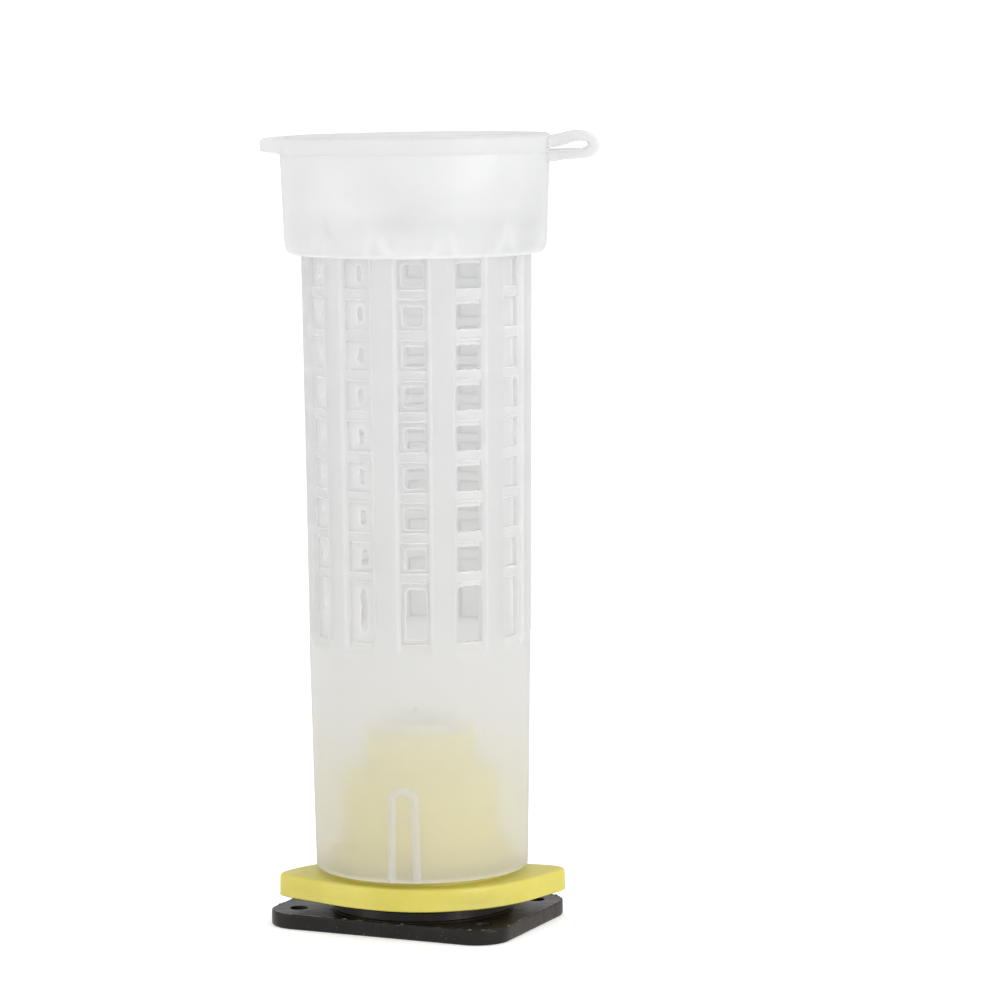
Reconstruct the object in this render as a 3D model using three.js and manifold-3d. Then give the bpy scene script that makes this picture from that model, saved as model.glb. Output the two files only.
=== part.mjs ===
// Queen cage for bee breeding: a frosted tubular cage with a hinged snap lid, slid over a
// yellow cup holder that carries a queen cell cup and plugs into a black mounting plate.
// Millimetres, +Z up along the tube axis, +X towards the lid hinge, Z = 0 at the underside of
// the mounting plate. Azimuths are measured from -Y (the front) towards +X.
import * as THREE from "three";
import { mergeVertices } from "three/addons/utils/BufferGeometryUtils.js";
import Module from "manifold-3d";

const GAP = 0.3; // running gap kept between neighbouring pieces
const TAU = 2 * Math.PI;
const rad = THREE.MathUtils.degToRad;

// mounting plate
const BASE_LENGTH = 25.6,
  BASE_WIDTH = 19.1,
  BASE_CORNER_R = 3.4,
  BASE_T = 1.5,
  BASE_YAW = -25.64,
  BASE_OFFSET_X = -0.5,
  BASE_BEVEL = 0.2,
  BOSS_R = 9.0,
  BOSS_TOP = 2.55,
  SOCKET_R = 6.05,
  SOCKET_FLOOR = 0.9,
  NAIL_R = 0.95,
  NAIL_X = 10.1,
  NAIL_Y = 6.3;

// cup holder
const FLANGE_BOTTOM = BOSS_TOP + GAP,
  FLANGE_TOP = 5.1,
  SPIGOT_R = SOCKET_R - GAP,
  SPIGOT_END = SOCKET_FLOOR + GAP,
  CORE_R = 4.3, // cored-out underside of the holder
  CORE_TOP = 8.6,
  SEAT_R = 9.1, // low ring the cage tube is pressed over
  SEAT_TOP = 7.7,
  BOSS1_R = 7.7,
  BOSS1_TOP = 15.1,
  BOSS2_R = 5.6,
  BOSS2_TOP = 18.95,
  CUP_BORE_R = 4.4,
  CUP_BORE_FLOOR = 10.3;
// flange outline in plan: a round plate with a pointed ear at each side for the fingers
const FLANGE_OUTLINE = [
  [-14.0, -2.05], [-12.75, -3.5], [-11.4, -4.62], [-9.6, -6.25], [-7.6, -7.85], [-5.4, -9.2],
  [-3.4, -10.15], [-1.3, -10.7], [0.9, -10.85], [3.0, -10.6], [5.2, -9.95], [7.2, -8.9],
  [9.0, -7.5], [10.6, -5.85], [12.05, -3.75], [13.3, -2.1], [13.85, -1.2], [13.95, -0.45],
  [13.3, 0.35], [12.1, 0.95], [10.6, 1.9], [10.2, 4.0], [9.0, 6.2], [7.2, 8.2], [5.0, 9.7],
  [2.5, 10.6], [0, 10.85], [-2.5, 10.55], [-5.0, 9.5], [-7.2, 7.8], [-9.0, 5.6], [-10.6, 3.1],
  [-12.1, 1.25], [-13.6, -0.55], [-14.15, -1.35],
];

// cell cup
const CUP_R = CUP_BORE_R - GAP,
  CUP_BOTTOM = CUP_BORE_FLOOR + GAP,
  CUP_RIM_R = 4.9,
  CUP_RIM_BOTTOM = BOSS2_TOP + GAP,
  CUP_TOP = 20.2,
  CUP_HOLLOW_R = 3.45,
  CUP_HOLLOW_FLOOR = 12.1;

// cage tube and collar
const TUBE_BOTTOM = 5.67,
  TUBE_R = [10.54, 11.0, 11.33], // outer radius at the bottom edge, the lowest window and under the collar
  TUBE_Z = [0, 25, 60.3], // heights of those radii above the bottom edge
  WALL = 1.1,
  COLLAR_R0 = 12.9,
  COLLAR_R1 = 13.25,
  COLLAR_BOTTOM = 60.8,
  COLLAR_TOP = 70.65,
  COLLAR_BORE_R = 12.0;
const COLUMNS = 12,
  ROWS = 9,
  COLUMN_OFFSET = -2.3, // azimuth of the front column, degrees
  WINDOW_W = 2.85,
  WINDOW_H = 2.9,
  WEB = 0.35, // thin moulding web left round the inside of each window
  OPENING_W = 1.8, // clear opening in the web
  OPENING_H = 1.8,
  ROW_PITCH = 3.916,
  LOWEST_BOTTOM = 23.5, // the lowest row is taller
  LOWEST_TOP = 29.41,
  CHANNEL_DEPTH = 0.5, // the bars sit back between the upright ribs
  CHANNEL_HALF = 9.2,
  BAR_HALF = 7.9,
  CHANNEL_FOOT = 22.4;
const BEAD_AZIMUTHS = [-9.8, 170.2],
  BEAD_W = 3.1, // outer width of the inverted-U bead
  BEAD_BAND = 0.95,
  BEAD_TOP = 9.35,
  BEAD_RAISE = 0.22;

// lid and its hinge strap
const LID_BOTTOM = COLLAR_TOP + GAP,
  LID_TOP = 72.3,
  LID_R = 13.3,
  TAB_REACH = 15.05,
  TAB_HALF_WIDTH = 4.2,
  SKIRT_R_TOP = 11.62,
  SKIRT_R_END = 11.25,
  SKIRT_END = 66.3,
  SKIRT_BORE_R = 10.35;
const STRAP_HALF_WIDTH = 3.2;
// side view of the strap, x outwards and height above the tube's bottom edge
const STRAP_SIDE = [
  [13.62, 72.22], [14.25, 72.37], [15.38, 72.62], [16.2, 72.66], [16.85, 72.58], [17.4, 72.33],
  [17.82, 71.85], [17.96, 71.33], [17.8, 70.75], [17.4, 70.35], [16.8, 70.1], [15.9, 69.97],
  [14.5, 69.95], [13.62, 69.8], [13.62, 70.72], [14.25, 70.88], [15.1, 70.8], [15.9, 70.82],
  [16.6, 70.95], [17.05, 71.27], [16.75, 71.62], [16.2, 71.75], [15.6, 71.7], [14.9, 71.56],
  [14.25, 71.4], [13.62, 71.12],
];

const wasm = await Module();
wasm.setup();

function solidOf(geometry) {
  const bare = new THREE.BufferGeometry();
  const flat = geometry.index ? geometry.toNonIndexed() : geometry;
  bare.setAttribute("position", flat.getAttribute("position"));
  const merged = mergeVertices(bare, 1e-4);
  return new wasm.Manifold(
    new wasm.Mesh({
      numProp: 3,
      vertProperties: new Float32Array(merged.attributes.position.array),
      triVerts: new Uint32Array(merged.index.array),
    }),
  );
}

function geometryOf(solid) {
  const m = solid.getMesh();
  const positions = new Float32Array(m.numVert * 3);
  for (let i = 0; i < m.numVert; i++)
    positions.set(m.vertProperties.subarray(i * m.numProp, i * m.numProp + 3), i * 3);
  const g = new THREE.BufferGeometry();
  g.setAttribute("position", new THREE.BufferAttribute(positions, 3));
  g.setIndex(new THREE.BufferAttribute(new Uint32Array(m.triVerts), 1));
  g.computeVertexNormals();
  return g;
}

// Closed skin through rings of equally many points, each ring star-shaped about its own middle
// and running anticlockwise seen from above, lowest ring first.
function loft(rings) {
  const n = rings[0].length;
  const points = rings.flat();
  const index = [];
  for (let k = 0; k + 1 < rings.length; k++)
    for (let i = 0; i < n; i++) {
      const j = (i + 1) % n,
        a = k * n + i,
        b = k * n + j,
        c = a + n,
        d = b + n;
      index.push(a, b, d, a, d, c);
    }
  const middle = (ring) =>
    ring.reduce((s, p) => [s[0] + p[0] / n, s[1] + p[1] / n, s[2] + p[2] / n], [0, 0, 0]);
  const low = points.push(middle(rings[0])) - 1,
    high = points.push(middle(rings[rings.length - 1])) - 1,
    top = (rings.length - 1) * n;
  for (let i = 0; i < n; i++) {
    const j = (i + 1) % n;
    index.push(low, j, i, high, top + i, top + j);
  }
  const g = new THREE.BufferGeometry();
  g.setAttribute("position", new THREE.Float32BufferAttribute(points.flat(), 3));
  g.setIndex(index);
  return g;
}

// Solid of revolution about Z from [radius, height] pairs that start and end on the axis.
function turned(profile, segments = 48) {
  const g = new THREE.LatheGeometry(
    profile.map(([r, z]) => new THREE.Vector2(r, z)),
    segments,
  );
  g.rotateX(Math.PI / 2);
  const s = solidOf(g);
  return s.volume() < 0 ? solidOf(flipped(g)) : s;
}

function flipped(g) {
  const f = g.index ? g.toNonIndexed() : g.clone();
  const p = f.getAttribute("position");
  for (let i = 0; i < p.count; i += 3) {
    const b = [p.getX(i + 1), p.getY(i + 1), p.getZ(i + 1)];
    p.setXYZ(i + 1, p.getX(i + 2), p.getY(i + 2), p.getZ(i + 2));
    p.setXYZ(i + 2, ...b);
  }
  return f;
}

const rod = (r, z0, z1, segments = 32) =>
  turned([[0, z0], [r, z0], [r, z1], [0, z1]], segments);

// Point at radius r and azimuth a (degrees from -Y towards +X).
const polar = (r, a, z) => [r * Math.sin(rad(a)), -r * Math.cos(rad(a)), z];

function mesh(name, solid, material) {
  const m = new THREE.Mesh(geometryOf(solid), new THREE.MeshStandardMaterial(material));
  m.name = name;
  return m;
}

// Plan outline extruded upwards with a small bevel on both rims.
function slab(points, z0, z1, bevel) {
  const c = points.reduce(
    (s, p) => [s[0] + p[0] / points.length, s[1] + p[1] / points.length],
    [0, 0],
  );
  const ring = (z, inset) =>
    points.map(([x, y]) => {
      const dx = x - c[0],
        dy = y - c[1],
        d = Math.hypot(dx, dy),
        k = (d - inset) / d;
      return [c[0] + dx * k, c[1] + dy * k, z];
    });
  return solidOf(
    loft([ring(z0, bevel), ring(z0 + bevel, 0), ring(z1 - bevel, 0), ring(z1, bevel)]),
  );
}

// ---- mounting plate -------------------------------------------------------------------------
function roundedRectangle(length, width, r, steps = 6) {
  const out = [];
  for (const [cx, cy, a0] of [
    [length / 2 - r, -width / 2 + r, -90],
    [length / 2 - r, width / 2 - r, 0],
    [-length / 2 + r, width / 2 - r, 90],
    [-length / 2 + r, -width / 2 + r, 180],
  ])
    for (let i = 0; i <= steps; i++) {
      const a = rad(a0 + (90 * i) / steps);
      out.push([cx + r * Math.cos(a), cy + r * Math.sin(a)]);
    }
  return out;
}

function mountingBase() {
  const plate = slab(
    roundedRectangle(BASE_LENGTH, BASE_WIDTH, BASE_CORNER_R),
    0,
    BASE_T,
    BASE_BEVEL,
  );
  const holes = [-1, 1].flatMap((i) =>
    [-1, 1].map((j) =>
      rod(NAIL_R, -1, BASE_T + 1, 16).translate([i * NAIL_X, j * NAIL_Y, 0]),
    ),
  );
  let body = plate;
  for (const h of holes) body = body.subtract(h);
  body = body.rotate([0, 0, BASE_YAW]).translate([BASE_OFFSET_X, 0, 0]);
  const boss = turned([
    [0, BASE_T - 0.3],
    [BOSS_R, BASE_T - 0.3],
    [BOSS_R, BOSS_TOP - 0.25],
    [BOSS_R - 0.25, BOSS_TOP],
    [0, BOSS_TOP],
  ]);
  return body.add(boss).subtract(rod(SOCKET_R, SOCKET_FLOOR, BOSS_TOP + 1, 40));
}

// ---- cup holder -----------------------------------------------------------------------------
function cupHolder() {
  const flange = slab(FLANGE_OUTLINE, FLANGE_BOTTOM, FLANGE_TOP, 0.18);
  const tower = turned([
    [0, SPIGOT_END],
    [SPIGOT_R - 0.3, SPIGOT_END],
    [SPIGOT_R, SPIGOT_END + 0.3],
    [SPIGOT_R, FLANGE_BOTTOM + 0.5],
    [SEAT_R, FLANGE_BOTTOM + 0.5],
    [SEAT_R, SEAT_TOP - 0.4],
    [SEAT_R - 0.4, SEAT_TOP],
    [BOSS1_R, SEAT_TOP],
    [BOSS1_R, BOSS1_TOP - 0.3],
    [BOSS1_R - 0.3, BOSS1_TOP],
    [BOSS2_R, BOSS1_TOP],
    [BOSS2_R, BOSS2_TOP - 0.25],
    [BOSS2_R - 0.25, BOSS2_TOP],
    [0, BOSS2_TOP],
  ]);
  return flange
    .add(tower)
    .subtract(rod(CORE_R, -1, CORE_TOP))
    .subtract(rod(CUP_BORE_R, CUP_BORE_FLOOR, BOSS2_TOP + 1));
}

// ---- cell cup -------------------------------------------------------------------------------
function cellCup() {
  return turned(
    [
      [0, CUP_BOTTOM],
      [CUP_R - 0.9, CUP_BOTTOM],
      [CUP_R, CUP_BOTTOM + 1.2],
      [CUP_R, CUP_RIM_BOTTOM],
      [CUP_RIM_R, CUP_RIM_BOTTOM],
      [CUP_RIM_R, CUP_TOP - 0.2],
      [CUP_RIM_R - 0.2, CUP_TOP],
      [CUP_HOLLOW_R + 0.35, CUP_TOP],
      [CUP_HOLLOW_R, CUP_TOP - 0.7],
      [CUP_HOLLOW_R - 0.1, CUP_HOLLOW_FLOOR + 2.2],
      [CUP_HOLLOW_R - 0.8, CUP_HOLLOW_FLOOR + 0.8],
      [CUP_HOLLOW_R - 2, CUP_HOLLOW_FLOOR + 0.1],
      [0, CUP_HOLLOW_FLOOR],
    ],
    40,
  );
}

// ---- cage -----------------------------------------------------------------------------------
const tubeR = (z) => {
  const k = z < TUBE_Z[1] ? 0 : 1;
  return (
    TUBE_R[k] + ((TUBE_R[k + 1] - TUBE_R[k]) * (z - TUBE_Z[k])) / (TUBE_Z[k + 1] - TUBE_Z[k])
  );
};

function cage() {
  const step = 360 / COLUMNS;
  // one sector of the outline: upright rib, sloping side, recessed bar, sloping side
  const sector = [
    [-CHANNEL_HALF, 0],
    [-BAR_HALF, 1],
    [0, 1],
    [BAR_HALF, 1],
    [CHANNEL_HALF, 0],
    [step / 2, 0],
  ];
  const ring = (z, r, depth) => {
    const out = [];
    for (let c = 0; c < COLUMNS; c++)
      for (const [a, sunk] of sector)
        out.push(polar(r - depth * sunk, COLUMN_OFFSET + c * step + a, z + TUBE_BOTTOM));
    return out;
  };
  const outside = solidOf(
    loft([
      ring(0, tubeR(0) - 0.12, 0),
      ring(0.15, tubeR(0.15), 0),
      ring(CHANNEL_FOOT, tubeR(CHANNEL_FOOT), 0),
      ring(CHANNEL_FOOT + 0.9, tubeR(CHANNEL_FOOT + 0.9), CHANNEL_DEPTH),
      ring(COLLAR_BOTTOM, tubeR(COLLAR_BOTTOM), CHANNEL_DEPTH),
      ring(COLLAR_BOTTOM, 11.95, 0),
      ring(COLLAR_BOTTOM + 0.2, 12.4, 0),
      ring(COLLAR_BOTTOM + 0.65, 12.72, 0),
      ring(COLLAR_BOTTOM + 1.5, COLLAR_R0, 0),
      ring(COLLAR_TOP - 0.15, COLLAR_R1, 0),
      ring(COLLAR_TOP, COLLAR_R1 - 0.15, 0),
    ]),
  );
  const z = (v) => v + TUBE_BOTTOM;
  let body = outside;
  // inverted-U beads near the bottom edge
  for (const azimuth of BEAD_AZIMUTHS) body = body.add(bead(azimuth));
  const bore = turned(
    [
      [0, z(-2)],
      [tubeR(0) - WALL, z(-2)],
      [tubeR(0) - WALL, z(0)],
      [tubeR(25) - WALL, z(25)],
      [tubeR(60.3) - WALL, z(60.9)],
      [11.3, z(62.0)],
      [11.75, z(63.3)],
      [COLLAR_BORE_R, z(COLLAR_TOP - 0.2)],
      [COLLAR_BORE_R + 0.15, z(COLLAR_TOP)],
      [COLLAR_BORE_R + 0.15, z(COLLAR_TOP + 1)],
      [0, z(COLLAR_TOP + 1)],
    ],
    48,
  ).rotate([0, 0, COLUMN_OFFSET]);
  body = body.subtract(bore);
  const windows = [];
  for (let c = 0; c < COLUMNS; c++)
    for (let r = 0; r < ROWS; r++) {
      const top = LOWEST_TOP + r * ROW_PITCH,
        bottom = r ? top - WINDOW_H : LOWEST_BOTTOM;
      windows.push(windowCutter(COLUMN_OFFSET + c * step, z(bottom), z(top), tubeR(bottom)));
    }
  return body.subtract(wasm.Manifold.union(windows));
}

// Parallel-sided pocket down to the web, and the smaller opening through it, centred on an azimuth.
function windowCutter(azimuth, z0, z1, r) {
  const prism = (w, inner, low, high) => {
    const corner = (z) =>
      [
        [-w, -12],
        [w, -12],
        [w, -inner],
        [-w, -inner],
      ].map(([x, y]) => [x, y, z]);
    return solidOf(loft([corner(low), corner(high)]));
  };
  const edge = (WINDOW_H - OPENING_H) / 2;
  return prism(WINDOW_W / 2, r - WALL + WEB, z0, z1)
    .add(prism(OPENING_W / 2, 8.5, z0 + edge, z1 - edge))
    .rotate([0, 0, azimuth]);
}

// Band of an inverted U lying on the tube, from the bottom edge up, over a round head, and down.
function bead(azimuth) {
  const mid = (BEAD_W - BEAD_BAND) / 2,
    headZ = BEAD_TOP - BEAD_W / 2;
  const path = [[-mid, 0.05]];
  path.push([-mid, headZ / 2]);
  for (let i = 0; i <= 8; i++) {
    const a = Math.PI - (Math.PI * i) / 8;
    path.push([mid * Math.cos(a), headZ + mid * Math.sin(a)]);
  }
  path.push([mid, headZ / 2], [mid, 0.05]);
  const rings = path.map(([s, z], i) => {
    const before = path[Math.max(i - 1, 0)],
      after = path[Math.min(i + 1, path.length - 1)],
      dx = after[0] - before[0],
      dz = after[1] - before[1],
      d = Math.hypot(dx, dz),
      across = [-dz / d, dx / d];
    const at = (u, lift) => {
      const ss = s + across[0] * u,
        zz = z + across[1] * u,
        r = tubeR(Math.max(zz, 0)) + lift;
      return polar(r, azimuth + THREE.MathUtils.radToDeg(ss / 10.6), zz + TUBE_BOTTOM);
    };
    const h = BEAD_BAND / 2;
    return [
      at(-h, -0.35),
      at(h, -0.35),
      at(h, 0),
      at(h * 0.55, BEAD_RAISE),
      at(-h * 0.55, BEAD_RAISE),
      at(-h, 0),
    ];
  });
  const g = loft(rings);
  const s = solidOf(g);
  return s.volume() < 0 ? solidOf(flipped(g)) : s;
}

// ---- lid ------------------------------------------------------------------------------------
function lid() {
  const z = (v) => v + TUBE_BOTTOM;
  const outline = [];
  const tabAngle = Math.asin(TAB_HALF_WIDTH / LID_R);
  const n = 56;
  for (let i = 0; i <= n; i++) {
    const a = -Math.PI + tabAngle + ((TAU - 2 * tabAngle) * i) / n;
    outline.push([LID_R * Math.cos(a), LID_R * Math.sin(a)]);
  }
  const r = 1.6;
  for (const [cy, a0] of [
    [TAB_HALF_WIDTH - 0.6 - r, 90],
    [-(TAB_HALF_WIDTH - 0.6 - r), 180],
  ])
    for (let i = 0; i <= 4; i++) {
      const a = rad(a0 + (90 * i) / 4);
      outline.push([-TAB_REACH + r + r * Math.cos(a), cy + r * Math.sin(a)]);
    }
  const plate = slab(outline, z(LID_BOTTOM), z(LID_TOP), 0.2);
  const skirt = turned([
    [0, z(SKIRT_END)],
    [SKIRT_R_END - 0.35, z(SKIRT_END)],
    [SKIRT_R_END, z(SKIRT_END + 0.35)],
    [SKIRT_R_TOP, z(LID_BOTTOM + 0.3)],
    [0, z(LID_BOTTOM + 0.3)],
  ]);
  return plate.add(skirt).subtract(rod(SKIRT_BORE_R, z(SKIRT_END - 1), z(LID_BOTTOM + 0.1), 48));
}

// ---- hinge strap ----------------------------------------------------------------------------
function hingeStrap() {
  const shape = new THREE.Shape(
    STRAP_SIDE.map(([x, z]) => new THREE.Vector2(x, z + TUBE_BOTTOM)),
  );
  const g = new THREE.ExtrudeGeometry(shape, {
    depth: 2 * STRAP_HALF_WIDTH,
    bevelEnabled: false,
    steps: 1,
  });
  g.rotateX(Math.PI / 2).translate(0, STRAP_HALF_WIDTH, 0);
  const s = solidOf(g);
  return s.volume() < 0 ? solidOf(flipped(g)) : s;
}

const FROSTED = { color: 0xe6e7e8, roughness: 0.42, metalness: 0 };
const queenCage = new THREE.Group();
queenCage.name = "queen_cage";
queenCage.add(
  mesh("mounting_base", mountingBase(), { color: 0x1d1c1b, roughness: 0.5, metalness: 0 }),
  mesh("cup_holder", cupHolder(), { color: 0xe3d64f, roughness: 0.45, metalness: 0 }),
  mesh("cell_cup", cellCup(), { color: 0xd9c48a, roughness: 0.35, metalness: 0 }),
  mesh("cage", cage(), { ...FROSTED }),
  mesh("hinge_strap", hingeStrap(), { ...FROSTED, roughness: 0.38 }),
  mesh("lid", lid(), { ...FROSTED, color: 0xe9eaeb }),
);
export default queenCage;
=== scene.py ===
import math

import bpy
import numpy as np
from mathutils import Matrix, Vector, noise


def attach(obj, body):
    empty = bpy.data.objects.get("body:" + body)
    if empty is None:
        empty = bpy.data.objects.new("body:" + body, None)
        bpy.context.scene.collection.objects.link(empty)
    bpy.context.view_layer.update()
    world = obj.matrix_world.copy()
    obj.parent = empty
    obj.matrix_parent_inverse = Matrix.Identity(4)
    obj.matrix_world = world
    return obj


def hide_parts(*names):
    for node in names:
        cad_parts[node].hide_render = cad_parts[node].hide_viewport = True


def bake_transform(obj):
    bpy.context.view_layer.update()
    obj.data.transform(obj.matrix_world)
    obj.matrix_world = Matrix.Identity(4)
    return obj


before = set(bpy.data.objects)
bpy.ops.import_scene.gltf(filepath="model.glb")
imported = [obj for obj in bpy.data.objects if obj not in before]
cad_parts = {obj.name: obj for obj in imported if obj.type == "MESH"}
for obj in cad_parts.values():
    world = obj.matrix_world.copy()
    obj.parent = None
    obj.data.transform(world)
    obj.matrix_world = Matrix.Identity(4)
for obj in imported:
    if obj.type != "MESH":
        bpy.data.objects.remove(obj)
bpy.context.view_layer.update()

MM = 0.001
TB = 5.67  # the tube's bottom edge above the plate's underside


def rnd(x, y=0.0, z=0.0):
    """Smooth repeatable noise between about -1 and 1."""
    return noise.noise(Vector((x, y, z)))


def smooth(t):
    t = min(1.0, max(0.0, t))
    return t * t * (3 - 2 * t)


def polar(r, azimuth, z):
    a = math.radians(azimuth)
    return (r * math.sin(a), -r * math.cos(a), z)


# ------------------------------------------------------------------------------------- meshes
def make(name, verts, faces, material, body, replaced=(), sharp=38.0, haze_and_painted_light=None):
    mesh = bpy.data.meshes.new(name)
    mesh.from_pydata([(x * MM, y * MM, z * MM) for x, y, z in verts], [], faces)
    mesh.update()
    if haze_and_painted_light is not None:
        # how milky the skin is at each vertex, 0 to 1, raised and lowered in places as painted highlight and painted
        # shade
        mesh.attributes.new("haze_and_painted_light", "FLOAT", "POINT").data.foreach_set("value", haze_and_painted_light)
    mesh.shade_smooth()
    mesh.set_sharp_from_angle(angle=math.radians(sharp))
    mesh.materials.append(material)
    o = bpy.data.objects.new(name, mesh)
    bpy.context.scene.collection.objects.link(o)
    if replaced:
        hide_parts(*replaced)
    if body:
        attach(o, body)
    return o


class Soup:
    """Vertices and faces of several closed shells that make one mesh."""

    def __init__(self):
        self.v, self.f, self.haze_and_painted_light = [], [], []

    def add(self, verts, faces, haze_and_painted_light=0.0):
        n = len(self.v)
        self.v.extend(verts)
        self.f.extend([tuple(n + i for i in f) for f in faces])
        self.haze_and_painted_light.extend(haze_and_painted_light if isinstance(haze_and_painted_light, list) else [haze_and_painted_light] * len(verts))


def skin(rings, low=True, high=True):
    """Closed skin through rings of equally many points, lowest first, each anticlockwise from above."""
    n = len(rings[0])
    verts = [p for r in rings for p in r]
    faces = []
    for k in range(len(rings) - 1):
        for i in range(n):
            j = (i + 1) % n
            faces.append((k * n + i, k * n + j, (k + 1) * n + j, (k + 1) * n + i))
    if low:
        c = np.mean(rings[0], axis=0)
        verts.append(tuple(c))
        m = len(verts) - 1
        faces += [(m, (i + 1) % n, i) for i in range(n)]
    if high:
        c = np.mean(rings[-1], axis=0)
        verts.append(tuple(c))
        m, t = len(verts) - 1, (len(rings) - 1) * n
        faces += [(m, t + i, t + (i + 1) % n) for i in range(n)]
    return verts, faces


def turned(profile, outline=None, angles=None, n=128, wobble=None):
    """Skin whose rings follow profile: (radius, z), or ("o", inset, z) for the plan outline moved in by inset.
    The first and last entries close on the axis."""
    angles = angles if angles is not None else [2 * math.pi * i / n for i in range(n)]
    rings = []
    for p in profile:
        ring = []
        for a in angles:
            r = outline(a) - p[1] if p[0] == "o" else p[0]
            z = p[-1]
            if wobble:
                r, z = wobble(a, r, z, p)
            ring.append((r * math.cos(a), r * math.sin(a), z))
        rings.append(ring)
    return skin(rings)


def fillet(profile, radii, steps=4):
    """A (r, z) profile with the corners that radii names rounded: radii maps index to radius."""
    out = []
    for i, p in enumerate(profile):
        r = radii.get(i)
        if not r or i in (0, len(profile) - 1):
            out.append(tuple(p))
            continue
        a, b, c = (np.array(profile[k], float) for k in (i - 1, i, i + 1))
        u, w = a - b, c - b
        lu, lw = np.linalg.norm(u), np.linalg.norm(w)
        u, w = u / lu, w / lw
        half = math.acos(max(-1, min(1, float(u @ w)))) / 2
        d = min(r / math.tan(half), 0.49 * lu, 0.49 * lw)
        p0, p1 = b + u * d, b + w * d
        for s in range(steps + 1):
            t = s / steps
            q = (1 - t) ** 2 * p0 + 2 * t * (1 - t) * b + t * t * p1
            # a quadratic through a right angle sits a little inside the arc, so it is eased out
            out.append(tuple(q + (b - q) * 0.06 * math.sin(math.pi * t)))
    return out


def closed_spline(points, n):
    """Catmull-Rom through closed control points."""
    p = np.array(points, float)
    m = len(p)
    out = []
    for i in range(m):
        a, b, c, d = p[i - 1], p[i], p[(i + 1) % m], p[(i + 2) % m]
        for k in range(n):
            t = k / n
            out.append(
                0.5
                * (
                    2 * b
                    + (c - a) * t
                    + (2 * a - 5 * b + 4 * c - d) * t * t
                    + (3 * b - a - 3 * c + d) * t**3
                )
            )
    return np.array(out)


def open_spline(points, n):
    p = np.array(points, float)
    p = np.vstack([2 * p[0] - p[1], p, 2 * p[-1] - p[-2]])
    out = []
    for i in range(1, len(p) - 2):
        a, b, c, d = p[i - 1], p[i], p[i + 1], p[i + 2]
        for k in range(n):
            t = k / n
            out.append(
                0.5
                * (
                    2 * b
                    + (c - a) * t
                    + (2 * a - 5 * b + 4 * c - d) * t * t
                    + (3 * b - a - 3 * c + d) * t**3
                )
            )
    out.append(p[-2])
    return np.array(out)


# ---------------------------------------------------------------------------------- materials
def nodes_of(name):
    m = bpy.data.materials.new(name)
    m.use_nodes = True
    nt = m.node_tree
    nt.nodes.clear()
    out = nt.nodes.new("ShaderNodeOutputMaterial")
    b = nt.nodes.new("ShaderNodeBsdfPrincipled")
    nt.links.new(b.outputs[0], out.inputs[0])
    return m, nt, b, out


def tex(nt, kind, scale, detail=3.0, rough=0.5, stretch=(1, 1, 1), **more):
    """A procedural texture on object coordinates, which are metres."""
    co = nt.nodes.new("ShaderNodeTexCoord")
    mp = nt.nodes.new("ShaderNodeMapping")
    mp.inputs["Scale"].default_value = stretch
    nt.links.new(co.outputs["Object"], mp.inputs[0])
    t = nt.nodes.new("ShaderNodeTex" + kind)
    nt.links.new(mp.outputs[0], t.inputs["Vector"])
    t.inputs["Scale"].default_value = scale
    if "Detail" in t.inputs:
        t.inputs["Detail"].default_value = detail
    if "Roughness" in t.inputs:
        t.inputs["Roughness"].default_value = rough
    for k, v in more.items():
        setattr(t, k, v)
    return t.outputs[0]


def ramp(nt, source, stops):
    r = nt.nodes.new("ShaderNodeValToRGB")
    e = r.color_ramp.elements
    while len(e) < len(stops):
        e.new(0.5)
    for el, (pos, col) in zip(e, stops):
        el.position = pos
        el.color = (*col, 1) if len(col) == 3 else col
    nt.links.new(source, r.inputs[0])
    return r.outputs[0]


def remap(nt, source, a0, a1, b0, b1):
    m = nt.nodes.new("ShaderNodeMapRange")
    for i, v in enumerate((a0, a1, b0, b1)):
        m.inputs[i + 1].default_value = v
    nt.links.new(source, m.inputs[0])
    return m.outputs[0]


def maths(nt, op, a, b=None):
    m = nt.nodes.new("ShaderNodeMath")
    m.operation = op
    for i, v in enumerate((a, b)):
        if v is None:
            continue
        if isinstance(v, (int, float)):
            m.inputs[i].default_value = v
        else:
            nt.links.new(v, m.inputs[i])
    return m.outputs[0]


def blend_colours(nt, share, a, b):
    m = nt.nodes.new("ShaderNodeMix")
    m.data_type = "RGBA"
    nt.links.new(share, m.inputs["Factor"])
    for key, v in (("A", a), ("B", b)):
        s = [i for i in m.inputs if i.name == key and i.type == "RGBA"][0]
        if isinstance(v, tuple):
            s.default_value = (*v, 1)
        else:
            nt.links.new(v, s)
    return [o for o in m.outputs if o.type == "RGBA"][0]


def bump(nt, height, strength, distance, under=None):
    b = nt.nodes.new("ShaderNodeBump")
    b.inputs["Strength"].default_value = strength
    b.inputs["Distance"].default_value = distance
    nt.links.new(height, b.inputs["Height"])
    if under is not None:
        nt.links.new(under, b.inputs["Normal"])
    return b.outputs[0]


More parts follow.
